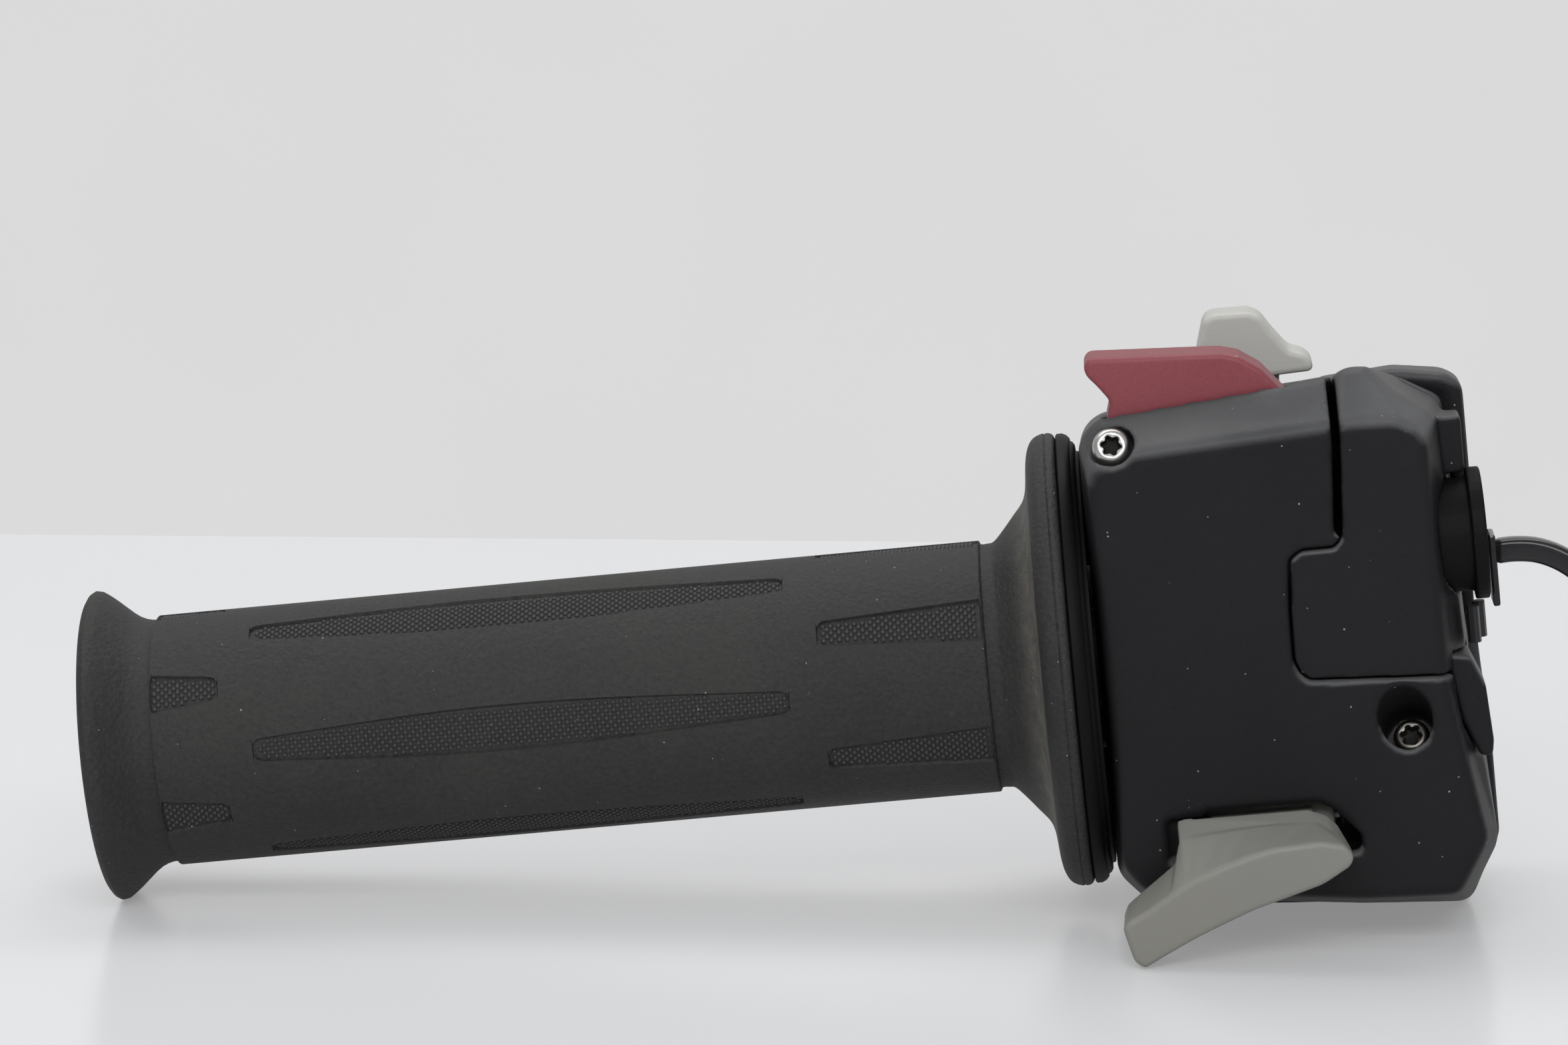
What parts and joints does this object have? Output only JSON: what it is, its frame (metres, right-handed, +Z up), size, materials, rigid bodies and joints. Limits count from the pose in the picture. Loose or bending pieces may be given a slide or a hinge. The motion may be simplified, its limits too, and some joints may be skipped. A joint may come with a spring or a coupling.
{
  "type": "throttle grip",
  "caption": "Motorcycle twist grip with its switch housing: ribbed rubber sleeve on a turning tube, engine stop rocker, two sprung paddles and a cable outlet.",
  "frame": {"origin": "on the handlebar's axis, at the outboard face of the switch housing", "axes": "+X along the handlebar towards the middle of the bike, +Z up, -Y the side with the screws"},
  "size_m": [0.2478, 0.0705, 0.0942],
  "materials": {
    "grip_rubber": "fine leathery grain, matte",
    "casing_plastic": "fine spark texture",
    "inner_plastic": "smooth black",
    "red_plastic": "fine matte",
    "grey_plastic": "fine matte, slightly yellowed",
    "steel": "bright",
    "wire_cover": "satin black"
  },
  "bodies": {
    "housing": {"front_shell": "casing_plastic", "rear_shell": "casing_plastic", "cable_cover": "casing_plastic", "shell_screw_upper": "steel", "shell_screw_lower": "steel", "bar_clamp": "steel", "cable_outlet": "inner_plastic", "cable_guide": "inner_plastic", "harness_clip": "inner_plastic", "lead_front": "wire_cover", "lead_rear": "wire_cover", "kill_switch_body": "inner_plastic", "kill_pivot_pin": "steel", "turn_switch_body": "inner_plastic", "turn_pivot_pin": "steel", "turn_return_spring": "steel", "cancel_switch_body": "inner_plastic", "cancel_pivot_pin": "steel", "cancel_return_spring": "steel", "tie_head": "wire_cover", "tie_strap": "wire_cover"},
    "throttle": {"grip_rubber": "grip_rubber", "throttle_tube": "inner_plastic", "flange_ring": "inner_plastic", "cable_drum": "inner_plastic"},
    "kill_switch": {"kill_lever": "red_plastic"},
    "turn_switch": {"turn_paddle": "grey_plastic"},
    "cancel_switch": {"cancel_paddle": "grey_plastic"}
  },
  "joints": [
    {"name": "throttle_twist", "type": "hinge", "parent": "housing", "child": "throttle", "pos_m": [0, 0, 0], "axis": [1, 0, 0], "range_deg": [0, 75]},
    {"name": "kill_rock", "type": "hinge", "parent": "housing", "child": "kill_switch", "pos_m": [0.0156, -0.0135, 0.0312], "axis": [0, 1, 0], "range_deg": [-6, 6]},
    {"name": "turn_press", "type": "hinge", "parent": "housing", "child": "turn_switch", "pos_m": [0.021, -0.0193, -0.0215], "axis": [-1, 0, 0], "range_deg": [0, 8], "stiffness_Nm_per_rad": 0.8, "springref_deg": -8.59},
    {"name": "cancel_press", "type": "hinge", "parent": "housing", "child": "cancel_switch", "pos_m": [0.0256, 0.007, 0.027], "axis": [-1, 0, 0], "range_deg": [0, 8], "stiffness_Nm_per_rad": 0.4, "springref_deg": -8.59}
  ]
}
